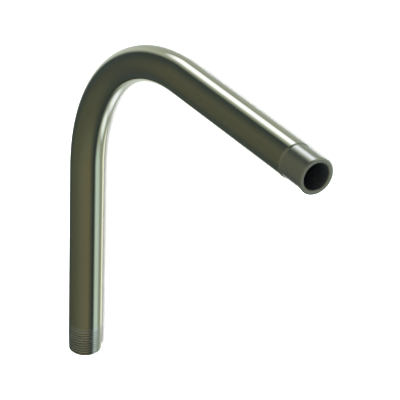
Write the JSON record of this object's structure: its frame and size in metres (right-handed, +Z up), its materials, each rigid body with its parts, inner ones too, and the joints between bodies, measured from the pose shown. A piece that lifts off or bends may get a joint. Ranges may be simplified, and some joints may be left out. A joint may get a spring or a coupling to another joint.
{
  "type": "threaded pipe elbow",
  "caption": "Right-angle pipe elbow bent from tube on a wide radius, with long straight legs, a tapered outside thread at the tip of the first leg and a smooth neck with a lip at the tip of the second.",
  "frame": {"origin": "middle of the bounding box at floor level, with the elbow lying flat", "axes": "+X points out of the second leg's mouth, -Y out of the first leg's mouth, and +Z is up, square to the plane of the bend"},
  "size_m": [0.2494, 0.2494, 0.0213],
  "materials": {
    "pipe": "gloss"
  },
  "bodies": {
    "root": {"threaded_elbow": "pipe"}
  },
  "joints": []
}
